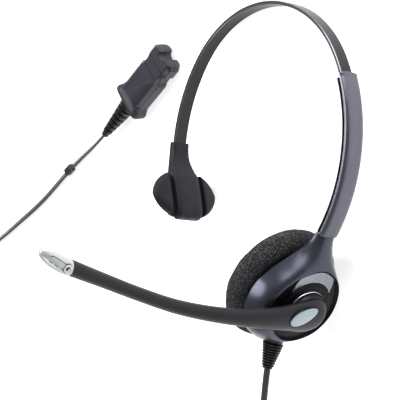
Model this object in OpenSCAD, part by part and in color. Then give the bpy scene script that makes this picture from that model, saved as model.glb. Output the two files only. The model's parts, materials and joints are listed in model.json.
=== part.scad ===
// Single-ear office headset lying on its back edges on a table.
// Millimetres. The pieces are designed in the wearing frame (X to the wearer's left,
// Y up, Z to the front) and lay_down() then rests the headset on the table, Z up.
// Pieces of the ear cup use the cup frame: x to the back, y up along the cup,
// z outward along the cup's axis, with the origin in the middle of the ear cushion.

/* [Headband] */
// Width of the spring strip
strip_w = 7.8; // [6:0.1:8.2]
// Thickness of the spring strip
strip_t = 1.8; // [1:0.1:2]
// Radius of the sliding part of the strip and of the arm that holds it
arm_r = 80; // [76:1:84]
// Radius of the arc over the head
top_r = 60.5; // [58:0.5:63]
// Radius of the side that runs down to the temple pad
side_r = 83; // [78:1:88]

/* [Arm] */
// Width of the arm from front to back
arm_w = 11.4; // [10.8:0.1:12]
// Depth of the arm's outer half, measured from the strip's middle
arm_out = 3.3; // [3.1:0.1:3.6]
// Depth of the arm's inner half
arm_in = 2.8; // [2.7:0.1:3.2]
// Angle of the arm's mouth on its arc
mouth_a = 27; // [25:0.5:29]
// Angle of the seam between arm and ear cup
seam_a = -30; // [-31:0.5:-29]

/* [Ear cup] */
// Tilt of the cup's axis below the horizontal
cup_tilt = 29; // [27:0.5:31]
// Radius of the housing
house_r = 26.5; // [25.5:0.5:27]
// Radius of the foam ear cushion
cushion_r = 30; // [28:0.5:31]
// Radius of the dark dial around the boom's hub
dial_r = 15.2; // [14:0.2:16]
// Radius of the boom's hub
hub_r = 9.4; // [8.6:0.1:9.4]

/* [Boom] */
// Reach of the boom from its pivot to the microphone's nose
boom_reach = 150; // [140:1:160]

/* [Temple pad] */
// Width of the pad from front to back
pad_w = 40; // [36:1:42]
// Height of the pad's oval
pad_h = 27; // [25:1:29]
// Thickness of the pad
pad_t = 8; // [7:0.5:9]

/* [Cord] */
// Diameter of the twin cord
cord_d = 3; // [2.6:0.2:3]

/* [Hidden] */

smooth = 96;
arm_c = [-17, 30];
join_a = 34;
top_end_a = 150;
side_end_a = 181;
tail_r = 40;
tail_end_a = 201;
strip_in_a = -2;
cup_c = [25.5, -37];
lay_tilt = -10.3;
lay_roll = -2.3;
place = [0.1, -11.9, 22.4];

strip_room_t = 2.4;
strip_room_w = 8.4;
rivet_r = 1.2;
rivet_a = 0;
slot_a = [-9.5, 21.5];

// Centres of the tangent arcs that the strip follows, each found from the one before it
function along(c, r, a) = c + r * [cos(a), sin(a)];
top_c = along(arm_c, arm_r - top_r, join_a);
side_c = along(top_c, top_r - side_r, top_end_a);
tail_c = along(side_c, side_r - tail_r, side_end_a);
tang_at = along(tail_c, tail_r, tail_end_a);
// Degrees between the points that draw the strip's outline
chain_step = 2.5;

// A bar along an arc in the X-Y plane. The children are its section: x outward, y to the front.
module arc_bar(c, r, from, to) {
    translate([c.x, c.y, 0]) rotate([0, 0, from])
        rotate_extrude(angle = to - from, $fn = 360) translate([r, 0]) children();
}

// The strip's side outline along a chain of arcs [centre, radius, from, to], offset by d from its middle
function chain_edge(chain, d) = [for (arc = chain) let (n = ceil((arc[3] - arc[2]) / chain_step))
    for (k = [0:n - 1]) along(arc[0], arc[1] + d, arc[2] + (arc[3] - arc[2]) * k / n)];
function chain_end(chain, d) = let (arc = chain[len(chain) - 1]) along(arc[0], arc[1] + d, arc[3]);
function reversed(list) = [for (k = [len(list) - 1:-1:0]) list[k]];
module chain_bar(chain, t, w) translate([0, 0, -w / 2]) linear_extrude(w)
    polygon(concat(chain_edge(chain, t / 2), [chain_end(chain, t / 2), chain_end(chain, -t / 2)],
        reversed(chain_edge(chain, -t / 2))));

// Half an ellipse on one side of x = flat, reaching out to x = depth
function half_oval(flat, depth, w, n = 14) =
    [for (i = [0:n]) let (a = -90 + 180 * i / n) [flat + (depth - flat) * cos(a), w / 2 * sin(a)]];

module lay_down() {
    translate(place) rotate([0, lay_roll, 0]) rotate([lay_tilt, 0, 0]) children();
}

module cup_frame() {
    lay_down() translate([cup_c.x, cup_c.y, 0]) rotate([0, 0, -cup_tilt]) rotate([0, 90, 0]) children();
}

// Frame of the strip's straight end: x inward to the head, y back up the strip, z to the front
module pad_frame() {
    lay_down() translate([tang_at.x, tang_at.y, 0]) rotate([0, 0, tail_end_a - 180]) children();
}

// ---- Headband and temple pad ----

module headband_strip() color([0.2, 0.2, 0.24]) lay_down() chain_bar([[arm_c, arm_r, strip_in_a, join_a],
    [top_c, top_r, join_a, top_end_a], [side_c, side_r, top_end_a, side_end_a],
    [tail_c, tail_r, side_end_a, tail_end_a]], strip_t, strip_w);

module stop_rivet() color("silver") lay_down()
    translate([arm_c.x, arm_c.y, 0]) rotate([0, 0, rivet_a]) translate([arm_r - strip_t / 2 - 1.2, 0, 0])
        rotate([0, 90, 0]) cylinder(r = rivet_r, h = 1.2, $fn = 32);

core_t = 1.6;
core_len = 18;
module pad_core() color([0.25, 0.25, 0.28]) pad_frame() {
    translate([-core_t / 2, -core_len, -strip_w / 2]) cube([core_t, core_len, strip_w]);
    translate([-core_t / 2, -core_len, -12]) cube([core_t, 6, 24]);
}

rivet_y = [-5, -15];
module pad_rivets() color("silver") pad_frame()
    for (y = rivet_y) translate([core_t / 2, y, 0]) rotate([0, 90, 0]) cylinder(r = 1.6, h = 0.8, $fn = 32);

pad_mid = [1.2, -14.1];
pad_neck_a = 179;
groove_z = 9.8;
groove_w = 3;
module pad_oval(grow, t) {
    translate([pad_mid.x - t / 2, pad_mid.y, 0]) rotate([0, 90, 0])
        linear_extrude(t) polygon([for (a = [0:7.5:359]) [(pad_w / 2 + grow) * cos(a), (pad_h / 2 + grow) * sin(a)]]);
}
module temple_pad() color([0.2, 0.2, 0.22]) difference() {
    union() {
        pad_frame() {
            pad_oval(-1.5, pad_t);
            pad_oval(0, pad_t - 3);
            translate([-2.4, -8, -8]) cube([5, 8, 16]);
        }
        lay_down() chain_bar([[side_c, side_r, pad_neck_a, side_end_a], [tail_c, tail_r, side_end_a, tail_end_a]],
            4.8, 11.4);
    }
    headband_strip();
    pad_core();
    pad_rivets();
    pad_frame() for (s = [-1, 1])
        translate([pad_mid.x + pad_t / 2 - 2.4, pad_mid.y - 11, s * groove_z - groove_w / 2])
            cube([4, 22, groove_w]);
}

// ---- Arm ----

module strip_room(from, to) {
    arc_bar(arm_c, arm_r, from, to) translate([-strip_room_t / 2 - 0.2, -strip_room_w / 2])
        square([strip_room_t + 0.2, strip_room_w]);
}

tongue_a = -36.5;
spring_a = [8, 20];
module arm_shell() color([0.33, 0.33, 0.4]) lay_down() difference() {
    union() {
        arc_bar(arm_c, arm_r, seam_a, mouth_a) polygon(half_oval(-strip_room_t / 2, arm_out, arm_w));
        arc_bar(arm_c, arm_r, tongue_a, seam_a + 0.5) polygon(half_oval(-strip_room_t / 2, arm_out - 1.3, arm_w - 3));
    }
    strip_room(-13, mouth_a + 1);
    arc_bar(arm_c, arm_r, spring_a[0] - 0.5, spring_a[1] + 0.5) translate([0.9, -2.2]) square([1.2, 4.4]);
    arc_bar(arm_c, arm_r, tongue_a - 1, -12) translate([-1, -1]) square(2);
}

module arm_liner() color([0.16, 0.16, 0.19]) lay_down() difference() {
    mirrored_half_oval_bar();
    arc_bar(arm_c, arm_r, slot_a[0], slot_a[1]) translate([-3.5, -rivet_r - 0.3]) square([3, 2 * rivet_r + 0.6]);
}
module mirrored_half_oval_bar() {
    arc_bar(arm_c, arm_r, seam_a, mouth_a - 1)
        polygon([for (p = half_oval(strip_room_t / 2, arm_in, arm_w)) [-p.x, p.y]]);
}

module detent_spring() color("silver") lay_down()
    arc_bar(arm_c, arm_r, spring_a[0], spring_a[1]) translate([1.4, -2]) square([0.4, 4]);

// ---- Ear cup ----

rim_z = 7.6;
dome_top = 19.4;
dial_seat = 17.6;
cavity_top = 15.8;
hub_room_r = 3.05;
module dome(r, top, base) {
    rotate_extrude($fn = smooth) polygon([[0, base], [r - 0.8, base], [r, base + 1.4], [r - 0.3, base + 4],
        [r - 1.6, top - 4.6], [r - 3.6, top - 2.6], [r - 6.2, top - 1], [r - 9.4, top], [0, top]]);
}
neck_y = 36.7;
module neck() hull() {
    translate([0, neck_y - 0.5, 10.35]) rotate([90, 0, 0]) linear_extrude(0.2)
        polygon([for (a = [0:20:359]) [5.9 * cos(a), (a < 180 ? arm_out : arm_in) * sin(a)]]);
    translate([0, 14, rim_z + 0.4]) cylinder(r1 = 13, r2 = 15, h = 2.5, $fn = 32);
    translate([0, 11, rim_z + 3]) cylinder(r1 = 15, r2 = 9, h = 6.8, $fn = 32);
}
module arm_tongue() rotate([0, -90, 0]) rotate([0, 0, cup_tilt]) translate([-cup_c.x, -cup_c.y, 0])
    arc_bar(arm_c, arm_r, tongue_a - 0.6, seam_a + 2) translate([-3.5, -4.6]) square([7, 9.2]);
eye = [[-15, -9], [-20.6, -4], [-21.6, 3], [-17, 11], [-9, 18], [0, 21.2], [8, 19.2], [14.8, 13.4], [18.4, 5], [18, -4],
    [11, -14], [0, -17.5], [-9, -14.5]];
module cup_housing() color([0.24, 0.25, 0.32]) cup_frame() difference() {
    union() {
        dome(house_r, dome_top, rim_z);
        neck();
    }
    translate([0, 0, rim_z - 1]) cylinder(r = house_r - 2.2, h = 5.4, $fn = smooth);
    difference() {
        translate([0, 0, rim_z - 1]) cylinder(r = house_r - 6, h = cavity_top - rim_z + 1, $fn = smooth);
        at_screws() translate([0, 0, plate_z + plate_t]) cylinder(r = 2.4, h = 8, $fn = 32);
    }
    at_screws() translate([0, 0, plate_z]) cylinder(r = 1.25, h = cavity_top - plate_z, $fn = 24);
    translate([0, 0, dial_seat]) linear_extrude(6) polygon(eye);
    cylinder(r = hub_room_r, h = 30, $fn = 48);
    translate([0, 24, 10.35]) rotate([-90, 0, 0]) cylinder(r = 1.2, h = 14, $fn = 24);
    arm_tongue();
    relief_axis() translate([0, 0, -8]) cylinder(r = stub_r, h = 20, $fn = 32);
}

module accent_crescent() color([0.75, 0.76, 0.82]) cup_frame() difference() {
    translate([0, 0, dial_seat]) linear_extrude(1.6) polygon([for (p = eye) if (p.y > 7) p * 0.97]);
    translate([0, 0, dial_seat - 1]) cylinder(r = dial_r + 0.1, h = 5, $fn = smooth);
}

module boom_dial() color([0.08, 0.08, 0.1]) cup_frame() translate([0, 0, dial_seat]) difference() {
    union() {
        cylinder(r = dial_r, h = 2.2, $fn = smooth);
        cylinder(r = dial_r - 2, h = 2.8, $fn = smooth);
    }
    translate([0, 0, -1]) cylinder(r = hub_r + 0.3, h = 6, $fn = smooth);
}

module dial_ring() color([0.8, 0.82, 0.85]) cup_frame() translate([0, 0, dial_seat + 2.8])
    rotate_extrude($fn = smooth) translate([hub_r + 0.5, 0]) square([0.7, 0.5]);

plate_z = 9;
plate_t = 1.6;
plate_r = 23.9;
module at_screws() for (a = [90, 210, 330]) rotate([0, 0, a]) translate([18, 0, 0]) children();
gim_z = 9.3;
gim_pin_r = 0.8;
module cup_back_plate() color([0.15, 0.15, 0.17]) cup_frame() difference() {
    union() {
        translate([0, 0, plate_z]) cylinder(r = plate_r, h = plate_t, $fn = smooth);
        for (s = [-1, 1]) translate([s * 11.2 - 1.5, -2.2, gim_z - 1.8]) cube([3, 4.4, 4.4]);
    }
    translate([0, 0, plate_z - 4]) cylinder(r = 9.6, h = 12, $fn = smooth);
    translate([-20, 0, gim_z]) rotate([0, 90, 0]) cylinder(r = gim_pin_r + 0.06, h = 40, $fn = 24);
    at_screws() translate([0, 0, plate_z - 1]) cylinder(r = 1.25, h = 4, $fn = 24);
    translate([0, -20.5, plate_z - 1]) cylinder(r = 2, h = 4, $fn = 24);
}

module plate_screws() color("silver") cup_frame() at_screws() {
    translate([0, 0, plate_z - 1]) cylinder(r = 2.2, h = 1, $fn = 32);
    translate([0, 0, plate_z]) cylinder(r = 1.2, h = cavity_top - plate_z, $fn = 24);
}

module friction_washer() color([0.7, 0.65, 0.5]) cup_frame() translate([0, 0, cavity_top - 0.8]) difference() {
    cylinder(r = 6, h = 0.8, $fn = smooth);
    translate([0, 0, -1]) cylinder(r = hub_room_r, h = 3, $fn = 48);
}

// Earpiece, hung in a small gimbal ring so that it can tilt both ways
module gimbal_ring() color([0.5, 0.5, 0.55]) cup_frame() translate([0, 0, gim_z]) difference() {
    union() {
        translate([0, 0, -1.1]) cylinder(r = 8.6, h = 2.2, $fn = smooth);
        for (s = [-1, 1]) translate([s > 0 ? 8.2 : -12.2, 0, 0]) rotate([0, 90, 0])
            cylinder(r = gim_pin_r, h = 4, $fn = 24);
    }
    translate([0, 0, -3]) cylinder(r = 6.4, h = 6, $fn = smooth);
    translate([0, -10, 0]) rotate([-90, 0, 0]) cylinder(r = gim_pin_r + 0.06, h = 20, $fn = 24);
}

unit_r = 21.6;
unit_z = [1.2, 6];
module speaker_frame() color([0.12, 0.12, 0.14]) cup_frame() {
    difference() {
        translate([0, 0, unit_z[0]]) cylinder(r = unit_r, h = unit_z[1] - unit_z[0], $fn = smooth);
        translate([0, 0, unit_z[0] - 1]) cylinder(r = unit_r - 1.6, h = unit_z[1] - unit_z[0] - 0.4, $fn = smooth);
        for (a = [0:60:359]) rotate([0, 0, a]) translate([14, 0, 0]) cylinder(r = 1.5, h = 9, $fn = 24);
    }
    translate([0, 0, unit_z[1]]) cylinder(r = 4.4, h = gim_z + 1.1 - unit_z[1], $fn = 48);
    for (s = [-1, 1]) translate([0, s > 0 ? 4 : -7.8, gim_z]) rotate([-90, 0, 0])
        cylinder(r = gim_pin_r, h = 3.8, $fn = 24);
}

module speaker_magnet() color("silver") cup_frame() translate([0, 0, 3]) cylinder(r = 8, h = 1.6, $fn = 64);

module speaker_cone() color([0.5, 0.45, 0.35]) cup_frame() translate([0, 0, 1.6]) difference() {
    cylinder(r = 18, h = 1.3, $fn = smooth);
    translate([0, 0, 0.3]) cylinder(r1 = 6, r2 = 12, h = 1.1, $fn = smooth);
}

module speaker_grille() color([0.1, 0.1, 0.1]) cup_frame() difference() {
    translate([0, 0, 0]) cylinder(r = unit_r, h = 1.1, $fn = smooth);
    for (k = [1:2]) for (a = [0:60 / k:359]) rotate([0, 0, a]) translate([6 * k, 0, -1])
        cylinder(r = 1.2, h = 4, $fn = 24);
}

cushion_z = [-9.5, 4.8];
module ear_cushion() color([0.09, 0.09, 0.1]) cup_frame() rotate_extrude($fn = smooth) polygon([
    [0, -6.5], [9, -6.9], [14, -8.6], [18, cushion_z[0]], [23, cushion_z[0]], [26.6, -8], [29, -5.4],
    [cushion_r, -2.4], [29.6, 0.4], [28.2, 2.8], [25.6, 4.4], [23, cushion_z[1]], [22, cushion_z[1]], [22, -0.4], [0, -0.4]]);

// ---- Boom ----

module boom_pivot() color("silver") cup_frame() {
    translate([0, 0, 13]) cylinder(r = 3, h = dial_seat + 0.4 - 13, $fn = 48);
    translate([0, 0, dial_seat + 0.4]) cylinder(r = hub_r, h = 3.2, $fn = smooth);
}

module boom_retainer() color("silver") cup_frame() translate([0, 0, 13.2]) difference() {
    cylinder(r = 5.4, h = 1.3, $fn = 48);
    translate([0, 0, -1]) cylinder(r = 3, h = 4, $fn = 48);
}

// Stations along the boom: reach from the pivot, height, depth along the pivot's axis,
// half height and half depth of the section there
boom_stations = [[-8.6, 0, 23.5, 1.4, 1.4], [-7.7, 0, 23.9, 4.2, 3.2], [-5.4, 0, 24.4, 7.2, 4.2], [-2.2, 0, 24.7, 8.7, 4.7],
    [1.5, -0.2, 24.9, 9.1, 4.9], [6, -0.6, 25.1, 8.7, 4.7], [12, -1.4, 25.1, 7.6, 4.2], [20, -2.7, 24.8, 6.2, 3.8],
    [30, -4, 24, 5.2, 3.5], [42, -5, 22.4, 4.3, 3.4], [58, -5.6, 19.5, 3.8, 3.3], [76, -4.9, 16, 3.4, 3.2],
    [96, -1.9, 12.2, 3.3, 3.1], [116, 2.1, 8.9, 3.5, 3.2], [134, 5.8, 6.2, 3.9, 3.4]];
section_n = 16;
function oval_ring(s) = [for (i = [0:section_n - 1]) let (a = 360 * i / section_n)
    [-s[0], s[1] + s[3] * cos(a), s[2] + s[4] * sin(a)]];
// Closed skin over rings of equal size that run in the -x direction
module skin(rings) {
    n = len(rings[0]);
    m = len(rings);
    polyhedron([for (r = rings) each r], concat(
        [[for (i = [n - 1:-1:0]) i]],
        [for (k = [0:m - 2]) for (i = [0:n - 1])
            [k * n + i, k * n + (i + 1) % n, (k + 1) * n + (i + 1) % n, (k + 1) * n + i]],
        [[for (i = [0:n - 1]) (m - 1) * n + i]]));
}
hub_base = dial_seat + 3.6;
module boom_tube() color([0.1, 0.1, 0.13]) cup_frame() difference() {
    skin([for (s = boom_stations) oval_ring(s)]);
    translate([-25, -25, hub_base - 10]) cube([50, 50, 10]);
    badge_shape(3);
}

badge_at = [-7.2, 1.4];
badge_z = 29;
module badge_shape(t) translate([badge_at.x, badge_at.y, badge_z]) rotate([0, -2.5, 0]) rotate([0, 0, 35])
    linear_extrude(t) polygon([for (a = [0:10:359]) [7.6 * cos(a), (4.3 - 0.5 * cos(a)) * sin(a)]]);
module hub_badge() color([0.68, 0.74, 0.8]) cup_frame() badge_shape(1);

tip_from = boom_stations[len(boom_stations) - 1];
tip_stations = [[0.3, 0, 0, 3.9, 3.4], [4, 0.9, -0.6, 4, 3.5], [8, 1.8, -1.1, 3.7, 3.3], [12, 2.7, -1.6, 2.9, 2.6],
    [14.6, 3.3, -1.9, 1.7, 1.6], [boom_reach - 134, 3.6, -2.1, 0.5, 0.5]];
module mic_tip() color([0.82, 0.84, 0.84]) cup_frame() difference() {
    skin([for (s = tip_stations) oval_ring([tip_from[0] + s[0], tip_from[1] + s[1], tip_from[2] + s[2], s[3], s[4]])]);
    mic_room();
    translate([-tip_from[0] - 5.4, tip_from[1] - 0.6, tip_from[2] + 1.9]) inlay_shape(2.2);
}
module mic_room() translate([-tip_from[0] - 5.6, tip_from[1] + 1, tip_from[2] - 2]) cylinder(r = 2.1, h = 2.9, $fn = 32);
module inlay_shape(t) linear_extrude(t) hull() {
    translate([-3.4, 0.9]) circle(r = 1.3, $fn = 24);
    translate([3, -0.5]) circle(r = 1.3, $fn = 24);
}
module mic_inlay() color([0.7, 0.72, 0.73]) cup_frame()
    translate([-tip_from[0] - 5.4, tip_from[1] - 0.6, tip_from[2] + 1.9]) inlay_shape(1.2);

module mic_port_ring() color([0.9, 0.92, 0.92]) cup_frame()
    translate([-tip_from[0] - 2.6, tip_from[1] - 1.1, tip_from[2] + 3.1]) difference() {
        cylinder(r = 1.5, h = 0.7, $fn = 32);
        translate([0, 0, -1]) cylinder(r = 0.8, h = 3, $fn = 32);
    }

module mic_capsule() color([0.6, 0.55, 0.3]) cup_frame()
    translate([-tip_from[0] - 5.6, tip_from[1] + 1, tip_from[2] - 1.9]) cylinder(r = 2, h = 2.6, $fn = 32);

// ---- Cord, coil and plug ----

stub_r = 2.6;
relief_len = 13.5;
relief_at = [0, -25.3, 12];
relief_lean = 17.5;
module relief_axis() translate(relief_at) rotate([90 - relief_lean, 0, 0]) children();
module cord_relief() color([0.07, 0.07, 0.08]) cup_frame() difference() {
    relief_axis() union() {
        rotate_extrude($fn = 48) polygon([[0, -3], [stub_r, -3], [stub_r, 0], [5.2, 0], [5.4, 1.2],
            for (i = [0:6]) each let (r = 5.2 - 0.42 * i, z = 1.8 + 1.55 * i) [[r, z], [r - 0.1, z + 0.7], [r - 0.9, z + 0.8], [r - 1, z + 1.4]],
            [2.2, 12.8], [2.1, relief_len], [0, relief_len]]);
    }
    dome_outside();
}
module dome_outside() dome(house_r, dome_top, rim_z);

// The cord's route lies on the table, so its points are in the resting frame, Z up
feed_route = [[21, -87, 36.9], [20.6, -93.6, 38], [20.4, -100, 39], [20.2, -106, 39.6], [20, -112, 38.4],
    [19.8, -117, 34.8], [19.6, -120.5, 29], [19.3, -123, 22], [18.8, -126, 15], [17.4, -129.5, 8.6],
    [13.6, -133.6, 3.8], [7, -137, 1.8], [-2, -139, 1.6], [-14, -139.5, 1.6], [-30, -139, 1.6], [-48, -139.5, 1.6],
    [-66, -141, 1.6], [-84, -143.5, 1.6], [-100, -147, 1.6], [-115, -149.4, 1.6], [-130, -150, 1.6]];
lead_route = [[-130, -151.5, 4.2], [-144, -151.6, 3.8], [-158, -152, 2.4], [-172, -153, 1.6], [-190, -155.5, 1.6],
    [-208, -158.5, 1.6], [-226, -161, 1.6], [-244, -162, 1.6], [-260, -159.5, 1.6], [-273, -152, 1.6],
    [-280.5, -140, 1.6], [-283, -125, 1.6], [-282, -109, 1.6], [-279.5, -93, 1.6], [-275, -78, 1.6], [-266.5, -64.5, 1.6],
    [-255, -54.5, 1.6], [-241, -46.5, 1.6], [-228, -39, 1.6], [-215, -31.5, 1.6], [-203, -24, 1.6], [-192.5, -16.5, 1.6],
    [-183, -9.5, 1.6], [-173, -2.5, 1.6], [-163, 4, 1.6], [-152.5, 10, 2.3], [-143.5, 15, 3.8], [-134, 20.8, 4.8]];
tube_sides = 8;
fill = 3;
// Smooth curve through the points: the place between points k and k + 1
function spot(p, k, u) = let (n = len(p) - 1, a = p[max(k - 1, 0)], b = p[k], c = p[k + 1], d = p[min(k + 2, n)])
    0.5 * (2 * b + (c - a) * u + (2 * a - 5 * b + 4 * c - d) * u * u + (3 * b - a - 3 * c + d) * u * u * u);
function smooth_route(p, steps) = [for (k = [0:len(p) - 2]) for (j = [0:steps - 1]) spot(p, k, j / steps), p[len(p) - 1]];
function unit(v) = v / norm(v);
function tube_ring(p, k, r) = let (dir = unit(p[min(k + 1, len(p) - 1)] - p[max(k - 1, 0)]),
    side = unit(cross(dir, abs(dir.z) > 0.8 ? [1, 0, 0] : [0, 0, 1])), up = cross(side, dir))
    [for (i = [0:tube_sides - 1]) let (a = 360 * (i + 0.5) / tube_sides) p[k] + r * (side * cos(a) + up * sin(a))];
module tube(route, steps, r) {
    p = smooth_route(route, steps);
    skin([for (k = [0:len(p) - 1]) tube_ring(p, k, r)]);
}

module cord_tube() color([0.1, 0.1, 0.1]) tube(feed_route, fill, cord_d / 2);
module cord_lead() color([0.1, 0.1, 0.1]) tube(lead_route, 2, cord_d / 2);

coil_at = [-130, -168];
coil_mid_r = 16.5;
module cord_coil() color([0.1, 0.1, 0.1]) translate([coil_at.x, coil_at.y, 0])
    rotate_extrude($fn = smooth) translate([coil_mid_r, 0])
        polygon([[-3, 0.1], [-1.6, 5.7], [1.6, 5.7], [3, 0.1]]);

tie_a = 250;
module coil_tie() color([0.15, 0.15, 0.15]) translate([coil_at.x, coil_at.y, 0]) rotate([0, 0, tie_a])
    translate([coil_mid_r, 2, 3]) rotate([90, 0, 0]) linear_extrude(4) difference() {
        polygon([[-4, -3], [-4, 0], [-2.4, 3.6], [2.4, 3.6], [4, 0], [4, -3]]);
        polygon([[-3, -2.9], [-1.6, 2.7], [1.6, 2.7], [3, -2.9]]);
    }

clip_at = [-176, -4.6];
clip_a = 35;
module cord_clip() color([0.05, 0.05, 0.05]) translate([clip_at.x, clip_at.y, 0]) rotate([0, 0, clip_a])
    translate([-3.2, -2.4, 0.1]) cube([6.4, 4.8, 4]);

// Quick-disconnect plug, flat on the table: x to its contact end, z up
plug_at = [-111.3, 38.5];
plug_a = 38;
plug_len = 38;
plug_w = 19;
plug_h = 9.4;
plug_base = 0.6;
plug_mid = plug_base + plug_h / 2;
module plug_frame() translate([plug_at.x, plug_at.y, 0]) rotate([0, 0, plug_a]) children();
plug_outline = [[0, -9.5], [22, -9.5], [24, -8.2], [28, -8.2], [30, -9.5], [36, -9.5], [38, -8], [38, -2.8], [35.4, -1.6],
    [35.4, 1.6], [38, 2.8], [38, 8], [36, 9.5], [30, 9.5], [28, 8.2], [24, 8.2], [22, 9.5], [0, 9.5]];
module plug_body() color([0.22, 0.22, 0.27]) plug_frame() difference() {
    union() {
        translate([0, 0, plug_base]) linear_extrude(plug_h / 2) polygon(plug_outline);
        translate([-4.5, -11.5, 0]) cube([4.5, 23, 10.6]);
    }
    translate([-6, 0, plug_mid]) rotate([0, 90, 0]) cylinder(r = 2.6, h = 8, $fn = 32);
    contact_slots();
}
module plug_cover() color([0.25, 0.25, 0.3]) plug_frame() difference() {
    translate([0, 0, plug_mid]) linear_extrude(plug_h / 2) polygon(plug_outline);
    translate([0, 0, plug_mid]) rotate([0, 90, 0]) cylinder(r = 2.6, h = 2, $fn = 32);
    contact_slots();
}
contact_y = [-6.6, -4.4, 4.4, 6.6];
module contact_slots() for (y = contact_y) translate([30, y - 0.5, plug_mid - 1.8]) cube([10, 1, 3.6]);
module plug_contacts() color("gold") plug_frame()
    for (y = contact_y) translate([30.2, y - 0.4, plug_mid - 1.6]) cube([7.4, 0.8, 3.2]);

plug_relief_len = 28;
module plug_relief() color([0.07, 0.07, 0.08]) plug_frame() translate([-4.5, 0, plug_mid]) rotate([0, -90, 0])
    rotate_extrude($fn = 48) polygon([[0, -5.5], [2.5, -5.5], [2.5, 0], [4.6, 0],
        for (i = [0:6]) each let (r = 4.6 - 0.3 * i, z = 1.2 + 3.1 * i) [[r, z], [r - 0.1, z + 1.6], [r - 1, z + 1.7], [r - 1.1, z + 3]],
        [2.1, 25.4], [2, plug_relief_len - 4.5], [0, plug_relief_len - 4.5]]);

headband_strip();
stop_rivet();
pad_core();
pad_rivets();
temple_pad();
arm_shell();
arm_liner();
detent_spring();
cup_housing();
accent_crescent();
boom_dial();
dial_ring();
cup_back_plate();
plate_screws();
friction_washer();
gimbal_ring();
speaker_frame();
speaker_magnet();
speaker_cone();
speaker_grille();
ear_cushion();
boom_pivot();
boom_retainer();
boom_tube();
hub_badge();
mic_tip();
mic_inlay();
mic_port_ring();
mic_capsule();
cord_relief();
cord_tube();
cord_coil();
coil_tie();
cord_lead();
cord_clip();
plug_relief();
plug_body();
plug_cover();
plug_contacts();
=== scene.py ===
import json
import math

import bmesh
import bpy
from mathutils import Matrix, Vector
from mathutils import noise as solid_noise


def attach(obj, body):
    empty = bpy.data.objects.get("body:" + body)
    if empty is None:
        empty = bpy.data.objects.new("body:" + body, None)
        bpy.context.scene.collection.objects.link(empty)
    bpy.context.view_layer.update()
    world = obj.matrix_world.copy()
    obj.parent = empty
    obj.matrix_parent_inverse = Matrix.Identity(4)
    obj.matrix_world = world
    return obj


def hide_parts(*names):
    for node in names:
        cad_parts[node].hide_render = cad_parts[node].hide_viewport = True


# An office headset lying on its back edges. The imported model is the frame: every place comes
# from its joints, and lengths below are in millimetres in the frames of the pieces.
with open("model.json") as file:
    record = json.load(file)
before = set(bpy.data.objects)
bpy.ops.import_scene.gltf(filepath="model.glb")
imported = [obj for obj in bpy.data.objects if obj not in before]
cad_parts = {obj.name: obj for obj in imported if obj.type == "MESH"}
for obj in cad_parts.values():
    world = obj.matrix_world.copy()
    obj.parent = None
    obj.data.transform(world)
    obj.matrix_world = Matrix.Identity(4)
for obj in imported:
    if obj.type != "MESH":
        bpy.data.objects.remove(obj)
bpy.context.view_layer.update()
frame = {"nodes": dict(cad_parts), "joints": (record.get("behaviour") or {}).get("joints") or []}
MM = 0.001
JOINTS = {j["name"]: j for j in frame["joints"]}


class Place:
    """A right-handed frame inside the row frame. at() takes millimetres."""

    def __init__(self, origin, x, y, z):
        self.origin, self.x, self.y, self.z = origin, x, y, z

    def at(self, x, y, z=0.0):
        return self.origin + (self.x * x + self.y * y + self.z * z) * MM

    def moved(self, x, y, z=0.0):
        return Place(self.at(x, y, z), self.x, self.y, self.z)

    def turned(self, degrees):
        a = math.radians(degrees)
        x = self.x * math.cos(a) + self.y * math.sin(a)
        y = self.y * math.cos(a) - self.x * math.sin(a)
        return Place(self.origin.copy(), x, y, self.z)


def joint_axis(name):
    return Vector(JOINTS[name]["axis"]).normalized()


def joint_at(name):
    return Vector(JOINTS[name]["pos_m"])


# The ear cup's frame: x to the wearer's back, y up the cup, z outward along its axis
GIMBAL_Z = 9.3
CUP_TILT = math.radians(29)     # between the cup's axis and the wearer's left
cup_z = -joint_axis("boom_swing")
cup_y = joint_axis("ear_turn")
cup_x = joint_axis("ear_nod")
CUP = Place(joint_at("ear_nod") - cup_z * GIMBAL_Z * MM, cup_x, cup_y, cup_z)

# The wearing frame: x to the wearer's left, y up, z to the front
wear_z = joint_axis("headband_slide")
wear_x = (cup_z * math.cos(CUP_TILT) + cup_y * math.sin(CUP_TILT)).normalized()
wear_y = wear_z.cross(wear_x)
ARM_C = (-17, 30)
ARM_R = 80
arm_middle = wear_x * ARM_C[0] + wear_y * ARM_C[1]
WEAR = Place(joint_at("headband_slide") - arm_middle * MM, wear_x, wear_y, wear_z)


# ---- Camera, stage and light ----

VIEW_AZIMUTH = math.radians(98.83)
VIEW_ELEVATION = math.radians(41.5)
VIEW_ROLL = math.radians(-97.8)
VIEW_TARGET = Vector((-0.04287, -0.0119, 0.02067))
VIEW_DISTANCE = 0.9
LENS = 156.7
SENSOR = 36

level = math.cos(VIEW_ELEVATION)
view_back = Vector((math.sin(VIEW_AZIMUTH) * level, -math.cos(VIEW_AZIMUTH) * level,
                    math.sin(VIEW_ELEVATION)))
level_right = Vector((0, 0, 1)).cross(view_back).normalized()
level_up = view_back.cross(level_right)
view_right = level_right * math.cos(VIEW_ROLL) + level_up * math.sin(VIEW_ROLL)
view_up = view_back.cross(view_right)


def facing(location, right, up, back):
    m = Matrix((right, up, back)).transposed().to_4x4()
    m.translation = location
    return m


cam_data = bpy.data.cameras.new("camera")
cam_data.lens = LENS
cam_data.sensor_width = SENSOR
cam_data.clip_start = 0.01
cam_data.dof.use_dof = False
camera = bpy.data.objects.new("camera", cam_data)
bpy.context.scene.collection.objects.link(camera)
camera.matrix_world = facing(VIEW_TARGET + view_back * VIEW_DISTANCE, view_right, view_up, view_back)
bpy.context.scene.camera = camera


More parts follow.
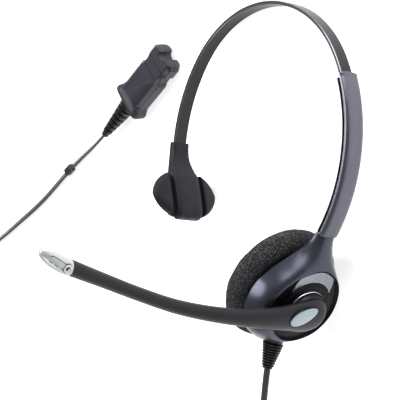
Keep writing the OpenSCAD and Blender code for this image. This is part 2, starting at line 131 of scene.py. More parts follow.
def soft_light(name, toward, distance, size, watts):
    """A square soft light that looks at the target from a direction given as right, up, back shares."""
    way = (view_right * toward[0] + view_up * toward[1] + view_back * toward[2]).normalized()
    data = bpy.data.lights.new(name, "AREA")
    data.shape = "RECTANGLE"
    data.size = size
    data.size_y = size
    data.energy = watts
    light = bpy.data.objects.new(name, data)
    bpy.context.scene.collection.objects.link(light)
    side = view_up.cross(way)
    side = side.normalized() if side.length > 0.1 else view_right
    light.matrix_world = facing(VIEW_TARGET + way * distance, side, way.cross(side), way)


soft_light("key_light", (0.1, 0.9, 0.6), 1.0, 0.7, 8)
soft_light("left_light", (-1.0, 0.4, 0.3), 0.9, 0.6, 8)
soft_light("lower_light", (-0.3, -1.0, 0.3), 0.9, 0.5, 3)

WORLD_STRENGTH = 0.3
world = bpy.data.worlds.new("studio")
bpy.context.scene.world = world
world.use_nodes = True
background = world.node_tree.nodes["Background"]
background.inputs["Color"].default_value = (1.0, 1.0, 1.0, 1.0)
background.inputs["Strength"].default_value = WORLD_STRENGTH
bpy.context.scene.view_settings.view_transform = "Standard"


# ---- Materials ----

PER_METRE = 1000.0
FLAKE_MM = 0.13
FOAM_CELL_MM = 1.1


def put(node, socket, value):
    node.inputs[socket].default_value = value


def nodes_of(name):
    m = bpy.data.materials.new(name)
    m.use_nodes = True
    tree = m.node_tree
    bsdf = tree.nodes["Principled BSDF"]
    coords = tree.nodes.new("ShaderNodeTexCoord")
    return m, tree, bsdf, coords.outputs["Object"]


def noise(tree, where, size_mm, detail):
    n = tree.nodes.new("ShaderNodeTexNoise")
    put(n, "Scale", PER_METRE / size_mm)
    put(n, "Detail", detail)
    tree.links.new(where, n.inputs["Vector"])
    return n.outputs["Fac"]


def spread(tree, value, low, high, lo_in=0.3, hi_in=0.7):
    n = tree.nodes.new("ShaderNodeMapRange")
    put(n, "From Min", lo_in)
    put(n, "From Max", hi_in)
    put(n, "To Min", low)
    put(n, "To Max", high)
    tree.links.new(value, n.inputs["Value"])
    return n.outputs["Result"]


def blended(tree, value, colour_a, colour_b):
    n = tree.nodes.new("ShaderNodeMix")
    n.data_type = "RGBA"
    put(n, "A", (*colour_a, 1))
    put(n, "B", (*colour_b, 1))
    tree.links.new(value, n.inputs["Factor"])
    return n.outputs["Result"]


def bumped(tree, bsdf, height, strength, depth_mm, below=None):
    n = tree.nodes.new("ShaderNodeBump")
    put(n, "Strength", strength)
    put(n, "Distance", depth_mm * MM)
    tree.links.new(height, n.inputs["Height"])
    if below is not None:
        tree.links.new(below, n.inputs["Normal"])
    tree.links.new(n.outputs["Normal"], bsdf.inputs["Normal"])
    return n.outputs["Normal"]


def shade(colour, factor):
    return tuple(min(1.0, c * factor) for c in colour)


def plastic(name, colour, rough, coat=0.0, grain_mm=0.25, bump=0.15, mottle=0.12, specular=0.5):
    """Moulded or painted surface: a fine grain, a slow variation of colour, and a worn range of roughness."""
    m, tree, bsdf, where = nodes_of(name)
    slow = noise(tree, where, 9.0, 2.0)
    fine = noise(tree, where, grain_mm, 3.0)
    colour_map = blended(tree, spread(tree, slow, 0, 1), shade(colour, 1 - mottle), shade(colour, 1 + mottle))
    tree.links.new(colour_map, bsdf.inputs["Base Color"])
    tree.links.new(spread(tree, fine, rough - 0.05, rough + 0.06), bsdf.inputs["Roughness"])
    put(bsdf, "Coat Weight", coat)
    put(bsdf, "Coat Roughness", 0.18)
    put(bsdf, "Specular IOR Level", specular)
    bumped(tree, bsdf, fine, bump, 0.06)
    return m


def flake_paint(name, colour, flake_colour, rough, metallic):
    """Satin metallic paint: tiny bright flakes in a coloured base, on a faintly uneven moulding."""
    m, tree, bsdf, where = nodes_of(name)
    cells = tree.nodes.new("ShaderNodeTexVoronoi")
    put(cells, "Scale", PER_METRE / FLAKE_MM)
    tree.links.new(where, cells.inputs["Vector"])
    separate = tree.nodes.new("ShaderNodeSeparateColor")
    tree.links.new(cells.outputs["Color"], separate.inputs["Color"])
    flakes = spread(tree, separate.outputs["Red"], 0, 1, 0.35, 1.0)
    tree.links.new(blended(tree, flakes, colour, flake_colour), bsdf.inputs["Base Color"])
    slow = noise(tree, where, 14.0, 2.0)
    tree.links.new(spread(tree, slow, rough - 0.03, rough + 0.05), bsdf.inputs["Roughness"])
    put(bsdf, "Metallic", metallic)
    put(bsdf, "Coat Weight", 0.25)
    put(bsdf, "Coat Roughness", 0.3)
    bumped(tree, bsdf, noise(tree, where, 0.5, 2.0), 0.06, 0.05)
    return m


def foam(name):
    """Open-cell foam: cells painted darker in their middles than at their walls, a painted shade in the
    pores, with light specks painted in as highlights where cell walls catch the light.
    """
    m, tree, bsdf, where = nodes_of(name)
    cells = tree.nodes.new("ShaderNodeTexVoronoi")
    cells.feature = "DISTANCE_TO_EDGE"
    put(cells, "Scale", PER_METRE / FOAM_CELL_MM)
    tree.links.new(where, cells.inputs["Vector"])
    # Painted shade: the cells' middles are darker than their walls, as if the pores lay in shade
    walls = spread(tree, cells.outputs["Distance"], 1, 0, 0.0, 0.25)
    # Painted highlights: light specks standing for cell walls that catch the light
    specks = spread(tree, noise(tree, where, 0.6, 6.0), 0, 1, 0.54, 0.74)
    dark = blended(tree, walls, (0.008, 0.008, 0.009), (0.034, 0.034, 0.038))
    mix = tree.nodes.new("ShaderNodeMix")
    mix.data_type = "RGBA"
    put(mix, "B", (0.2, 0.2, 0.21, 1))
    tree.links.new(dark, mix.inputs["A"])
    tree.links.new(specks, mix.inputs["Factor"])
    tree.links.new(mix.outputs["Result"], bsdf.inputs["Base Color"])
    put(bsdf, "Roughness", 0.95)
    put(bsdf, "Specular IOR Level", 0.15)
    coarse = bumped(tree, bsdf, cells.outputs["Distance"], 0.8, 0.4)
    bumped(tree, bsdf, noise(tree, where, 0.35, 6.0), 0.8, 0.25, coarse)
    return m


def metal(name, colour, rough, grain_mm=0.4):
    """Plated or rolled metal with fine scratches drawn out in one direction."""
    m, tree, bsdf, where = nodes_of(name)
    stretch = tree.nodes.new("ShaderNodeMapping")
    put(stretch, "Scale", (1, 1, 9))
    tree.links.new(where, stretch.inputs["Vector"])
    scratches = noise(tree, stretch.outputs["Vector"], grain_mm * 4, 5.0)
    tree.links.new(blended(tree, spread(tree, scratches, 0, 1), shade(colour, 0.85), shade(colour, 1.1)),
                   bsdf.inputs["Base Color"])
    tree.links.new(spread(tree, scratches, rough - 0.05, rough + 0.08), bsdf.inputs["Roughness"])
    put(bsdf, "Metallic", 1.0)
    bumped(tree, bsdf, scratches, 0.08, 0.04)
    return m


ARM_PAINT = flake_paint("arm_paint", (0.085, 0.085, 0.112), (0.15, 0.15, 0.185), 0.3, 0.8)
HOUSING_PAINT = flake_paint("housing_paint", (0.036, 0.04, 0.06), (0.066, 0.07, 0.094), 0.3, 0.75)
ACCENT_PAINT = flake_paint("accent_paint", (0.2, 0.21, 0.245), (0.3, 0.31, 0.35), 0.24, 0.85)
BOOM_PLASTIC = plastic("boom_plastic", (0.008, 0.007, 0.011), 0.36, specular=0.28, grain_mm=0.35, bump=0.05)
DIAL_PLASTIC = plastic("dial_plastic", (0.003, 0.003, 0.0045), 0.4, bump=0.06, specular=0.15)
INNER_PLASTIC = plastic("inner_plastic", (0.012, 0.012, 0.016), 0.42, bump=0.2)
PLUG_PLASTIC = plastic("plug_plastic", (0.018, 0.017, 0.028), 0.36, grain_mm=0.3, bump=0.2, specular=0.4)
PAD_RUBBER = plastic("pad_rubber", (0.009, 0.009, 0.015), 0.5, grain_mm=0.3, bump=0.3, mottle=0.2,
                     specular=0.22)
CORD_RUBBER = plastic("cord_rubber", (0.05, 0.05, 0.056), 0.24, coat=0.5, grain_mm=0.8, bump=0.06)
RELIEF_RUBBER = plastic("relief_rubber", (0.003, 0.003, 0.004), 0.38, grain_mm=0.4, bump=0.2, specular=0.35)
BADGE_PLASTIC = plastic("badge_plastic", (0.37, 0.44, 0.5), 0.35, coat=0.4, bump=0.05, mottle=0.04)
PORT_PLASTIC = plastic("port_plastic", (0.6, 0.63, 0.63), 0.35, bump=0.05, mottle=0.04)
TIP_PAINT = flake_paint("tip_paint", (0.46, 0.48, 0.47), (0.58, 0.6, 0.59), 0.36, 0.3)
STRIP_LACQUER = plastic("strip_lacquer", (0.008, 0.008, 0.011), 0.3, grain_mm=0.6, bump=0.04, specular=0.3)
# Lighter metal for the strip's cut edges: a painted highlight along both long edges of the strip
STRIP_EDGE_HIGHLIGHT = metal("strip_edge_highlight", (0.24, 0.25, 0.28), 0.32)
STEEL = metal("steel", (0.55, 0.56, 0.58), 0.3)
PLATED_RING = metal("plated_ring", (0.8, 0.81, 0.84), 0.2, 0.2)
BRASS = metal("brass", (0.75, 0.58, 0.25), 0.3)
CONE_FILM = plastic("cone_film", (0.3, 0.26, 0.18), 0.5, grain_mm=1.2, bump=0.3)
FOAM = foam("ear_foam")


# ---- Mesh building ----

def add_piece(name, verts, faces, material, body, slot, replaces=(), sharp=40):
    mesh = bpy.data.meshes.new(name)
    mesh.from_pydata([tuple(v) for v in verts], [], faces)
    mesh.validate()
    obj = bpy.data.objects.new(name, mesh)
    bpy.context.scene.collection.objects.link(obj)
    bm = bmesh.new()
    bm.from_mesh(mesh)
    bmesh.ops.remove_doubles(bm, verts=bm.verts, dist=1e-6)
    bmesh.ops.recalc_face_normals(bm, faces=bm.faces)
    bm.to_mesh(mesh)
    bm.free()
    mesh.shade_smooth()
    mesh.set_sharp_from_angle(angle=math.radians(sharp))
    mesh.materials.append(material)
    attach(obj, body)
    if replaces:
        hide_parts(*replaces)
    return obj


def skin(rings, start="cap", end="cap"):
    """Vertices and faces of a closed skin over rings of equal size. An end is capped or left open."""
    n = len(rings[0])
    verts = [p for r in rings for p in r]
    faces = [(k * n + i, k * n + (i + 1) % n, (k + 1) * n + (i + 1) % n, (k + 1) * n + i)
             for k in range(len(rings) - 1) for i in range(n)]
    if start == "cap":
        faces.append(tuple(range(n))[::-1])
    if end == "cap":
        faces.append(tuple((len(rings) - 1) * n + i for i in range(n)))
    return verts, faces


def joined(parts):
    verts, faces = [], []
    for v, f in parts:
        base = len(verts)
        verts += v
        faces += [tuple(i + base for i in face) for face in f]
    return verts, faces


AXIS_R = 0.001      # stands for a radius of nothing, so that a ring on the axis keeps its points


def full_turn(n):
    return [2 * math.pi * i / n for i in range(n)]


def turned_skin(place, profile, n=96, closed=False):
    """A turned form: profile is a list of (radius, z)."""
    rings = []
    for r, z in profile:
        r = max(r, AXIS_R)
        rings.append([place.at(r * math.cos(a), r * math.sin(a), z) for a in full_turn(n)])
    if closed:
        return skin(rings + [rings[0]], "open", "open")
    return skin(rings)


def curve_value(points, u):
    """Catmull-Rom curve through points at u from 0 to len - 1."""
    k = min(int(u), len(points) - 2)
    f = u - k
    a, b = points[max(k - 1, 0)], points[k]
    c, d = points[k + 1], points[min(k + 2, len(points) - 1)]
    return tuple(0.5 * (2 * b[i] + (c[i] - a[i]) * f + (2 * a[i] - 5 * b[i] + 4 * c[i] - d[i]) * f ** 2
                        + (3 * b[i] - a[i] - 3 * c[i] + d[i]) * f ** 3) for i in range(len(b)))


def smooth_list(points, steps):
    last = len(points) - 1
    return [curve_value(points, k / steps) for k in range(last * steps)] + [tuple(points[-1])]


def table_value(table, x):
    """Smooth value of a sorted table [(x, value), ...] at x."""
    if x <= table[0][0]:
        return table[0][1]
    for (x0, v0), (x1, v1) in zip(table, table[1:]):
        if x <= x1:
            f = (x - x0) / (x1 - x0)
            f = f * f * (3 - 2 * f)
            return v0 + (v1 - v0) * f
    return table[-1][1]


def super_oval(half_a, half_b, power, n):
    """Points round an oval whose corners fill out as power grows past 2."""
    pts = []
    for a in full_turn(n):
        c, s = math.cos(a), math.sin(a)
        x = math.copysign(abs(c) ** (2 / power), c)
        y = math.copysign(abs(s) ** (2 / power), s)
        pts.append((x * half_a, y * half_b))
    return pts


# ---- Cord: the same route as the CAD cord's, in millimetres, with the coil's turns made by a loop ----

CORE_R = 0.88                   # each of the twin cord's two cores
CORE_OFF = 0.78                 # from the cord's middle to a core's
CORD_TILT = math.radians(38)    # how far the pair leans out of level
CORD_SWAY = 0.25                # and how far the lean wanders along the cord
LIE_Z = 1.55                    # height of the cord's middle on the table
RELIEF_AT = (0, -25.3, 12)
COIL_AT = (-130, -168)


def flat(*points):
    """The cord's middle where it lies on the table."""
    return [(x, y, LIE_Z) for x, y in points]


# From the ear cup to the coil
FEED_ROUTE = [
    (21, -87, 36.9), (20.6, -93.6, 38), (20.4, -100, 39), (20.2, -106, 39.6), (20, -112, 38.4),
    (19.8, -117, 34.8), (19.6, -120.5, 29), (19.3, -123, 22), (18.8, -126, 15), (17.4, -129.5, 8.6),
    (13.6, -133.6, 3.8)]
FEED_ROUTE += flat(
    (7, -137), (-2, -139), (-14, -139.5), (-30, -139), (-48, -139.5), (-66, -141), (-84, -143.5),
    (-100, -147), (-115, -149.4))
# From the coil into the plug
LEAD_ROUTE = [(-144, -151.6, 3.8), (-158, -152, 2.4)]
LEAD_ROUTE += flat(
    (-172, -153), (-190, -155.5), (-208, -158.5), (-226, -161), (-244, -162), (-260, -159.5),
    (-273, -152), (-280.5, -140), (-283, -125), (-282, -109), (-279.5, -93), (-275, -78), (-266.5, -64.5),
    (-255, -54.5), (-241, -46.5), (-228, -39), (-215, -31.5), (-203, -24), (-192.5, -16.5), (-183, -9.5),
    (-173, -2.5), (-163, 4))
LEAD_ROUTE += [
    (-152.5, 10, 2.3), (-143.5, 15, 3.8), (-134, 20.8, 4.8), (-127.1, 26.2, 5.3), (-116, 34.8, 5.3)]
# Radius and height of the coil's middle line, by turns from its start
COIL_MIDDLE = 16.5
COIL_RADIUS = [(0, 18), (0.9, 18), (1.1, 15), (1.85, 15), (2.15, COIL_MIDDLE), (3, COIL_MIDDLE)]
COIL_HEIGHT = [(0, LIE_Z), (1.8, LIE_Z), (2.15, 4.5), (3, 4.5)]
COIL_TURNS = 3
COIL_POINTS = 20


def coil_route():
    pts = []
    for k in range(COIL_TURNS * COIL_POINTS + 1):
        turn = k / COIL_POINTS
        a = math.radians(90) + 2 * math.pi * turn
        r = table_value(COIL_RADIUS, turn)
        z = table_value(COIL_HEIGHT, turn)
        pts.append((COIL_AT[0] + r * math.cos(a), COIL_AT[1] + r * math.sin(a), z))
    return pts


def cord_section():
    """Twin cord: two round cores side by side, joined by a web."""
    pts = []
    for side in (1, -1):
        for i in range(9):
            a = math.radians(-118 + 236 * i / 8)
            x = CORE_OFF + CORE_R * math.cos(a)
            y = CORE_R * math.sin(a)
            pts.append((x * side, y * side))
    return pts


def swept(points, section, tilt):
    """The section carried along the points, leaning by tilt and swaying a little as a loose cord does."""
    rings = []
    for k, p in enumerate(points):
        ahead = Vector(points[min(k + 1, len(points) - 1)]) - Vector(points[max(k - 1, 0)])
        ahead.normalize()
        steep = abs(ahead.z) >= 0.85
        side = ahead.cross(Vector((-1, 0, 0)) if steep else Vector((0, 0, 1))).normalized()
        up = side.cross(ahead)
        a = tilt + CORD_SWAY * math.sin(k * 0.09)
        x_dir = side * math.cos(a) + up * math.sin(a)
        y_dir = up * math.cos(a) - side * math.sin(a)
        rings.append([(Vector(p) + x_dir * x + y_dir * y) * MM for x, y in section])
    return skin(rings)


cord_points = FEED_ROUTE + coil_route() + LEAD_ROUTE
cord_path = smooth_list(cord_points, 4)
cord = add_piece("twin_cord", *swept(cord_path, cord_section(), CORD_TILT), CORD_RUBBER, "headset_body",
                 "cord_rubber", ("cord_tube", "cord_coil", "cord_lead"), sharp=50)


def ribbed(place, ribs, root, tip, start_z, pitch, core_drop, groove_share, tail):
    """A strain relief: ribs of falling radius round a core, ending in a short plain tip."""
    profile = [(0, -1.5), (root, -1.5)]
    for i in range(ribs):
        r = root + (tip - root) * i / ribs
        z = start_z + pitch * i
        full = pitch * (1 - groove_share)
        profile += [(r - core_drop, z), (r - core_drop, z + 0.02), (r - 0.25, z + 0.03), (r, z + 0.25),
                    (r, z + full - 0.3), (r - 0.2, z + full - 0.03), (r - core_drop, z + full)]
    end = start_z + pitch * ribs
    profile += [(tip - 0.35, end + 0.1), (tip - 0.3, end + tail - 0.3), (tip - 0.6, end + tail),
                (0, end + tail)]
    return turned_skin(place, profile, 48)


relief_dir = (Vector(cord_path[0]) * MM - CUP.at(*RELIEF_AT)).normalized()
relief_side = relief_dir.cross(CUP.x).normalized()
RELIEF = Place(CUP.at(*RELIEF_AT), relief_side.cross(relief_dir), relief_side, relief_dir)
cup_relief = ribbed(RELIEF, ribs=9, root=5.3, tip=2.9, start_z=0.6, pitch=1.36, core_drop=1.3,
                    groove_share=0.42, tail=0.7)
add_piece("cup_relief", *cup_relief, RELIEF_RUBBER, "headset_body", "cord_rubber", ("cord_relief",))

# ---- Headband: a chain of tangent arcs (centre, radius, from, to), in the wearing frame ----

JOIN_A, TOP_R, TOP_END_A = 34, 60.5, 150
SIDE_R, SIDE_END_A = 83, 181
TAIL_R, TAIL_END_A = 40, 201
STRIP_IN_A = -2
STRIP_T, STRIP_W = 1.8, 7.8


def along(c, r, degrees):
    a = math.radians(degrees)
    return (c[0] + r * math.cos(a), c[1] + r * math.sin(a))


TOP_C = along(ARM_C, ARM_R - TOP_R, JOIN_A)
SIDE_C = along(TOP_C, TOP_R - SIDE_R, TOP_END_A)
TAIL_C = along(SIDE_C, SIDE_R - TAIL_R, SIDE_END_A)
STRIP_CHAIN = [
    (ARM_C, ARM_R, STRIP_IN_A, JOIN_A), (TOP_C, TOP_R, JOIN_A, TOP_END_A),
    (SIDE_C, SIDE_R, TOP_END_A, SIDE_END_A), (TAIL_C, TAIL_R, SIDE_END_A, TAIL_END_A)]


def chain_ring(centre, radius, degrees, section):
    """section is a list of (outward, to the front) points, put at an angle on an arc."""
    a = math.radians(degrees)
    return [WEAR.at(centre[0] + (radius + x) * math.cos(a), centre[1] + (radius + x) * math.sin(a), z)
            for x, z in section]


def arc_angles(start, end, step):
    n = max(2, math.ceil(abs(end - start) / step))
    return [start + (end - start) * k / n for k in range(n + 1)]


def chain_rings(chain, section, step=1.5):
    rings = []
    for centre, radius, start, end in chain:
        angles = arc_angles(start, end, step)
        rings += [chain_ring(centre, radius, a, section) for a in (angles if not rings else angles[1:])]
    return rings


CUT = 0.32      # the strip's long edges are cut off by this much, and the cut faces take a lighter metal as a painted highlight along the edges
half_t, half_w = STRIP_T / 2, STRIP_W / 2
strip_section = [
    (half_t, -half_w + CUT), (half_t, half_w - CUT), (half_t - CUT, half_w), (-half_t + CUT, half_w),
    (-half_t, half_w - CUT), (-half_t, -half_w + CUT), (-half_t + CUT, -half_w), (half_t - CUT, -half_w)]
strip = add_piece("spring_strip", *skin(chain_rings(STRIP_CHAIN, strip_section)), STRIP_LACQUER, "headband",
                  "strip", ("headband_strip",), sharp=30)
# The cut faces take the lighter edge metal, a painted highlight
strip.data.materials.append(STRIP_EDGE_HIGHLIGHT)
EDGE_SIDES = (1, 3, 5, 7)
for face in strip.data.polygons:
    if len(face.vertices) == 4 and face.index % len(strip_section) in EDGE_SIDES:
        face.material_index = 1

# ---- Temple pad: x inward to the head, y back up the strip, z to the front ----

pad_turn = math.radians(TAIL_END_A - 180)
tang_at = along(TAIL_C, TAIL_R, TAIL_END_A)
PAD = Place(WEAR.at(*tang_at), WEAR.x * math.cos(pad_turn) + WEAR.y * math.sin(pad_turn),
            WEAR.y * math.cos(pad_turn) - WEAR.x * math.sin(pad_turn), WEAR.z)
PAD_W, PAD_H, PAD_Y = 40, 27, -14.1
PAD_BACK, PAD_FRONT = -2.8, 5.2
GROOVE_Z, GROOVE_W, GROOVE_DEEP = 9.8, 3, 2.6
PAD_RING = 40
PAD_SLICES = (0.64, 0.72, 0.82, 0.9, 0.96, 0.99, 0.999)     # shares of the half width, outside the grooves


def pad_section(z, deep):
    """One slice of the pad across its width: an oval slab, thinner towards its two ends."""
    share = abs(z) / (PAD_W / 2)
    half = PAD_H / 2 * math.sqrt(max(0.0, 1 - share ** 2))
    front = PAD_FRONT - 0.5 - 2.6 * share ** 2.6 - deep
    back = PAD_BACK + 1.6 * share ** 3
    mid, thick = (front + back) / 2, max(0.3, (front - back) / 2)
    oval = super_oval(1, 1, 3.2, PAD_RING)
    return [PAD.at(mid + thick * x, PAD_Y + max(half, 0.2) * y, z) for x, y in oval]


def pad_slices():
    """Places across the pad with how deep each is cut: plain at the ends and middle, cut at the grooves."""
    slices = [(-s * PAD_W / 2, 0) for s in reversed(PAD_SLICES)]
    edge = GROOVE_W / 2
    for z in (-GROOVE_Z, GROOVE_Z):
        slices += [(z - edge - 0.3, 0), (z - edge, 0.3), (z - edge + 0.25, GROOVE_DEEP),
                   (z + edge - 0.25, GROOVE_DEEP), (z + edge, 0.3), (z + edge + 0.3, 0)]
        if z < 0:
            slices += [(-6, 0), (-3, 0), (0, 0), (3, 0), (6, 0)]
    slices += [(s * PAD_W / 2, 0) for s in PAD_SLICES]
    return slices


add_piece("temple_pad", *skin([pad_section(z, deep) for z, deep in pad_slices()]), PAD_RUBBER, "headband",
          "pad_rubber", ("temple_pad",), sharp=50)

# The neck runs from the collar round the strip down over the middle of the pad as a raised ridge.
# Each station: distance up the strip, half width, back, front
NECK_STATIONS = [
    (14.2, 4.5, -1.9, 1.9), (14.5, 4.9, -2.3, 2.2), (14.1, 5.1, -2.5, 2.4), (11, 5.2, -2.6, 2.5),
    (7, 5.5, -2.7, 2.6), (3.5, 6.2, -2.7, 2.9), (0, 7.2, -2.7, 3.5), (-3, 8.0, -2.6, 4.3),
    (-6, 8.25, -2.6, 4.9), (-12, 8.3, -2.6, 5.15), (-18, 8.3, -2.6, 5.15), (-23, 8.25, -2.4, 4.8),
    (-25.8, 8.1, -2.0, 3.9), (-27.1, 7.7, -1.4, 2.4), (-27.4, 7.2, -0.6, 1.2)]
TAIL_LEN = math.radians(TAIL_END_A - SIDE_END_A) * TAIL_R


def strip_ring(up, half_w, back, front):
    """A slice round the strip at a distance up from its tangent end. x is inward to the head."""
    mid, thick = (back + front) / 2, (front - back) / 2
    section = [(mid + x, z) for x, z in super_oval(thick, half_w, 4.5, PAD_RING)]
    if up <= 0:
        return [PAD.at(x, up, z) for x, z in section]
    outward = [(-x, z) for x, z in section]
    if up <= TAIL_LEN:
        return chain_ring(TAIL_C, TAIL_R, TAIL_END_A - math.degrees(up / TAIL_R), outward)
    return chain_ring(SIDE_C, SIDE_R, SIDE_END_A - math.degrees((up - TAIL_LEN) / SIDE_R), outward)


neck_rings = [strip_ring(*s) for s in smooth_list(NECK_STATIONS, 3)]
add_piece("pad_neck", *skin(neck_rings), PAD_RUBBER, "headband", "pad_rubber", sharp=50)

# ---- Arm ----

ARM_W, ARM_OUT, ARM_IN = 11.4, 3.3, 2.8
ROOM = 1.2              # half the space that the strip needs between the shell and the liner
MOUTH_A, SEAM_A = 27, -30
ARM_RING = 40
ARM_POWER = 2.35


def arm_half(outward, depth, width):
    """Half an oval on one side of the strip, closed by a flat side with a short bevel."""
    pts = []
    for i in range(ARM_RING + 1):
        a = math.pi * (i / ARM_RING - 0.5)
        c, s = math.cos(a), math.sin(a)
        x = abs(c) ** (2 / ARM_POWER)
        z = math.copysign(abs(s) ** (2 / ARM_POWER), s)
        pts.append((outward * (ROOM + (depth - ROOM) * x), width / 2 * z))
    bevel_x, bevel_z = outward * (ROOM - 0.15), width / 2 - 0.35
    return pts + [(bevel_x, bevel_z), (bevel_x, -bevel_z)]


def arm_bar(stations, outward, depth, width):
    """stations: (degrees, depth change, width change)."""
    rings = []
    for degrees, deeper, wider in stations:
        rings.append(chain_ring(ARM_C, ARM_R, degrees, arm_half(outward, depth + deeper, width + wider)))
    return skin(rings)


LINER_INSET = 1.3
outer_stations = ([(SEAM_A + 0.12, -0.45, -0.8), (SEAM_A + 0.2, -0.12, -0.25), (SEAM_A + 0.5, 0, 0)]
                  + [(a, 0, 0) for a in arc_angles(SEAM_A + 2, MOUTH_A - 2, 2)]
                  + [(MOUTH_A - 0.9, 0, 0), (MOUTH_A - 0.75, 0.12, 0.2), (MOUTH_A - 0.35, 0.14, 0.25),
                     (MOUTH_A - 0.1, -0.05, 0), (MOUTH_A, -0.5, -0.9)])
add_piece("arm_shell", *arm_bar(outer_stations, 1, ARM_OUT, ARM_W), ARM_PAINT, "headset_body", "arm_paint",
          ("arm_shell",), sharp=35)
inner_stations = ([(SEAM_A + 0.15, -0.4, -0.8), (SEAM_A + 0.5, 0, 0)]
                  + [(a, 0, 0) for a in arc_angles(SEAM_A + 2, MOUTH_A - 2.4, 2)]
                  + [(MOUTH_A - 1.4, 0, 0), (MOUTH_A - 1.1, -0.4, -0.5)])
add_piece("arm_liner", *arm_bar(inner_stations, -1, ARM_IN, ARM_W - LINER_INSET), INNER_PLASTIC,
          "headset_body", "inner_plastic", ("arm_liner",), sharp=35)
# A thin bright bead where the painted shell meets the liner, on both long edges
bead_parts = []
bead_angles = arc_angles(SEAM_A + 0.4, MOUTH_A - 0.6, 2)
for side in (-1, 1):
    bead_z = side * (ARM_W / 2 - 0.12)
    bead = [(0.95 + 0.28 * math.cos(a), bead_z + 0.3 * math.sin(a)) for a in full_turn(8)]
    bead_parts.append(skin([chain_ring(ARM_C, ARM_R, a, bead) for a in bead_angles]))
add_piece("arm_edge_bead", *joined(bead_parts), ACCENT_PAINT, "headset_body", "accent", sharp=60)

# ---- Cup housing: a boat-shaped form along y, cut open round the dial ----

RIM_Z, SEAT_Z, DOME_Z = 7.6, 17.6, 19.4     # the ear side's rim, the recess's floor, the top of the shoulder
NECK_Y, FOOT_Y = 36.7, -26.5
# Half width, top, base and hollowed underside along y
HALF_WIDTH = [
    (FOOT_Y, 0.3), (-26.3, 3.4), (-25.6, 7.6), (-24, 12.0), (-21, 16.9), (-17.5, 20.4), (-13, 23.4),
    (-8, 25.5), (-3, 26.4), (2, 26.2), (6, 24.8), (10, 22.2), (14, 18.8), (18, 15.3), (22, 12.2),
    (26, 9.7), (30, 7.6), (33.5, 6.2), (36.7, 5.75), (40, 5.7)]
TOP_LINE = [
    (FOOT_Y, 8.6), (-26.2, 10.6), (-25.4, 12.8), (-24, 14.8), (-22, 16.6), (-19, 18.1), (-15, 19.1),
    (-9, 19.5), (12, 19.5), (18, 19.4), (22, 18.9), (26, 17.6), (30, 15.8), (34, 14.3), (36.7, 13.65),
    (40, 13.6)]
BASE_LINE = [(FOOT_Y, RIM_Z), (14, RIM_Z), (22, 8.1), (30, 9.3), (36.7, 9.6), (40, 9.6)]
UNDER_DEPTH = [(FOOT_Y, 0), (20, 0), (27, 1.6), (36.7, 2.1), (40, 2.1)]
# Outline of the recess round the dial
EYE = [
    (-15.6, -9.5), (-19.8, -3.5), (-20.6, 3), (-17, 11), (-9.5, 17.8), (0, 21.2), (8, 19.4), (15.2, 13.8),
    (19.4, 5), (19.8, -4.5), (15.4, -13.5), (7, -18.4), (-2, -19.2), (-10, -15.5)]
EYE_WALL = 0.5
FRONT_GAIN = [(2, 0), (9, 0.7), (14, 1.2), (20, 1.2), (28, 0.3), (34, 0)]     # fuller toward the boom's side
ROUND_POWER, STRAIGHT_POWER = 2.4, 1.0
FAR_SIDE = math.radians(-28)
NECK_BLEND = [(18, 0), (34, 1)]         # where the shoulder turns into the neck's bar
ROUND = 132


def spline_at(table, y):
    """Catmull-Rom value of [(x, value), ...] at x = y."""
    if y <= table[0][0]:
        return table[0][1]
    for k in range(len(table) - 1):
        if y <= table[k + 1][0]:
            f = (y - table[k][0]) / (table[k + 1][0] - table[k][0])
            return curve_value([(v,) for _, v in table], k + f)[0]
    return table[-1][1]


def outline_points():
    """Round the housing from the middle of its neck's end, by equal steps of the outline's length."""
    right = [(0, NECK_Y), (2.5, NECK_Y), (4.8, NECK_Y)]
    y = NECK_Y - 0.02
    while y > FOOT_Y + 0.1:
        right.append((spline_at(HALF_WIDTH, y), y))
        y -= 0.7
    right.append((0, FOOT_Y))
    ring = right + [(-x - table_value(FRONT_GAIN, y), y) for x, y in right[-2:0:-1]]
    lengths = [0]
    for a, b in zip(ring, ring[1:] + ring[:1]):
        lengths.append(lengths[-1] + math.dist(a, b))
    pts, k = [], 0
    for i in range(ROUND):
        want = lengths[-1] * i / ROUND
        while lengths[k + 1] < want:
            k += 1
        f = (want - lengths[k]) / (lengths[k + 1] - lengths[k])
        a, b = ring[k], ring[(k + 1) % len(ring)]
        pts.append((a[0] + (b[0] - a[0]) * f, a[1] + (b[1] - a[1]) * f))
    return pts


def radial(curve, angle):
    """Point of a closed curve round the origin in a direction."""
    best = None
    for a, b in zip(curve, curve[1:] + curve[:1]):
        ta, tb = math.atan2(a[1], a[0]) - angle, math.atan2(b[1], b[0]) - angle
        ta, tb = math.atan2(math.sin(ta), math.cos(ta)), math.atan2(math.sin(tb), math.cos(tb))
        if ta * tb <= 0 and abs(ta) < 1 and abs(tb) < 1:
            f = 0 if ta == tb else ta / (ta - tb)
            best = (a[0] + (b[0] - a[0]) * f, a[1] + (b[1] - a[1]) * f)
    return best


def gap_to(curve, x, y):
    """Shortest distance from a point to a closed curve."""
    best = 1e9
    for (ax, ay), (bx, by) in zip(curve, curve[1:] + curve[:1]):
        dx, dy = bx - ax, by - ay
        f = ((x - ax) * dx + (y - ay) * dy) / max(1e-9, dx * dx + dy * dy)
        f = min(1.0, max(0.0, f))
        best = min(best, math.hypot(x - ax - dx * f, y - ay - dy * f))
    return best


